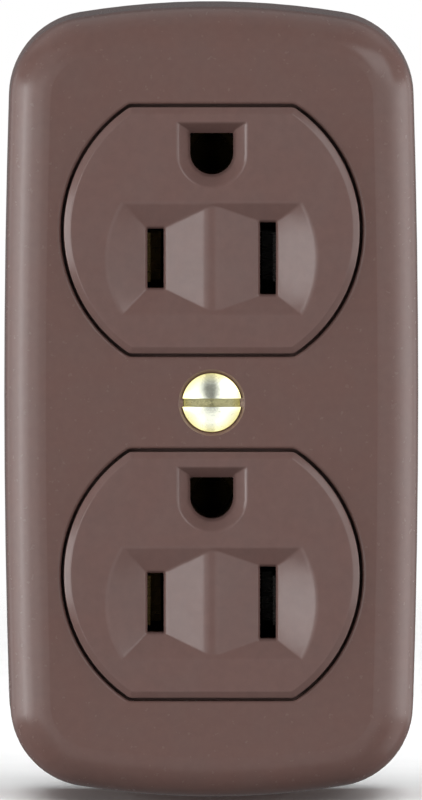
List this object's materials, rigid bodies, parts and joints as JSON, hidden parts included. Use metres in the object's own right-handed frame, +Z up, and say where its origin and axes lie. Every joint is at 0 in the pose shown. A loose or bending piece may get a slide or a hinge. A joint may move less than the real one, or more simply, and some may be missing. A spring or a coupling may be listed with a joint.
{
  "type": "duplex wall outlet",
  "caption": "Surface-mounted grounded duplex wall outlet: deep rounded brown cover, D-shaped receptacle faces, brass cover screw, base plate, contacts and terminal screws inside.",
  "frame": {"origin": "centre of the outlet's back face, on the wall plane", "axes": "+X to the right seen from the front, +Z up (ground holes above the blade slots), front faces -Y"},
  "size_m": [0.0474, 0.033, 0.0902],
  "materials": {
    "brown_cover": "smooth moulded, soft sheen",
    "brown_face": "smooth moulded, soft sheen",
    "black_moulding": "compression moulded",
    "screw_brass": "turned",
    "contact_brass": "stamped",
    "nickel_plate": "nickel plated",
    "zinc_steel": "zinc plated",
    "green_screw": "green dyed plating",
    "fibre": "vulcanised fibre"
  },
  "bodies": {
    "root": {"base": "black_moulding", "receptacle_body": "black_moulding", "receptacle_face": "brown_face", "hot_bus": "contact_brass", "neutral_bus": "nickel_plate", "ground_strap": "zinc_steel", "ground_contact_upper": "contact_brass", "ground_contact_lower": "contact_brass", "ground_rivet_upper": "contact_brass", "ground_rivet_lower": "contact_brass", "cover_screw_nut": "screw_brass", "assembly_screw_upper": "zinc_steel", "assembly_screw_lower": "zinc_steel"},
    "cover": {"cover": "brown_cover"},
    "screw_retainer": {"screw_retainer": "fibre"},
    "cover_screw": {"cover_screw": "screw_brass"},
    "hot_terminal_screw_upper": {"hot_terminal_screw_upper": "screw_brass"},
    "hot_terminal_screw_lower": {"hot_terminal_screw_lower": "screw_brass"},
    "neutral_terminal_screw_upper": {"neutral_terminal_screw_upper": "nickel_plate"},
    "neutral_terminal_screw_lower": {"neutral_terminal_screw_lower": "nickel_plate"},
    "ground_terminal_screw": {"ground_terminal_screw": "green_screw"}
  },
  "joints": [
    {"name": "cover_lift", "type": "slide", "parent": "root", "child": "cover", "axis": [0, -1, 0], "range_m": [0, 0.06]},
    {"name": "cover_screw_travel", "type": "slide", "parent": "cover", "child": "screw_retainer", "axis": [0, -1, 0], "range_m": [0, 0.002]},
    {"name": "cover_screw_turn", "type": "hinge", "parent": "screw_retainer", "child": "cover_screw", "pos_m": [0, -0.03, 0], "axis": [0, -1, 0], "range_deg": [0, 900]},
    {"name": "hot_screw_upper_travel", "type": "slide", "parent": "root", "child": "hot_terminal_screw_upper", "axis": [-1, 0, 0], "range_m": [0, 0.0025]},
    {"name": "hot_screw_lower_travel", "type": "slide", "parent": "root", "child": "hot_terminal_screw_lower", "axis": [-1, 0, 0], "range_m": [0, 0.0025]},
    {"name": "neutral_screw_upper_travel", "type": "slide", "parent": "root", "child": "neutral_terminal_screw_upper", "axis": [1, 0, 0], "range_m": [0, 0.0025]},
    {"name": "neutral_screw_lower_travel", "type": "slide", "parent": "root", "child": "neutral_terminal_screw_lower", "axis": [1, 0, 0], "range_m": [0, 0.0025]},
    {"name": "ground_screw_travel", "type": "slide", "parent": "root", "child": "ground_terminal_screw", "axis": [0, 0, -1], "range_m": [0, 0.0025]}
  ],
  "couplings": [
    {"joint": "cover_screw_turn", "follows": "cover_screw_travel", "rad_per_m": 7853.9}
  ]
}
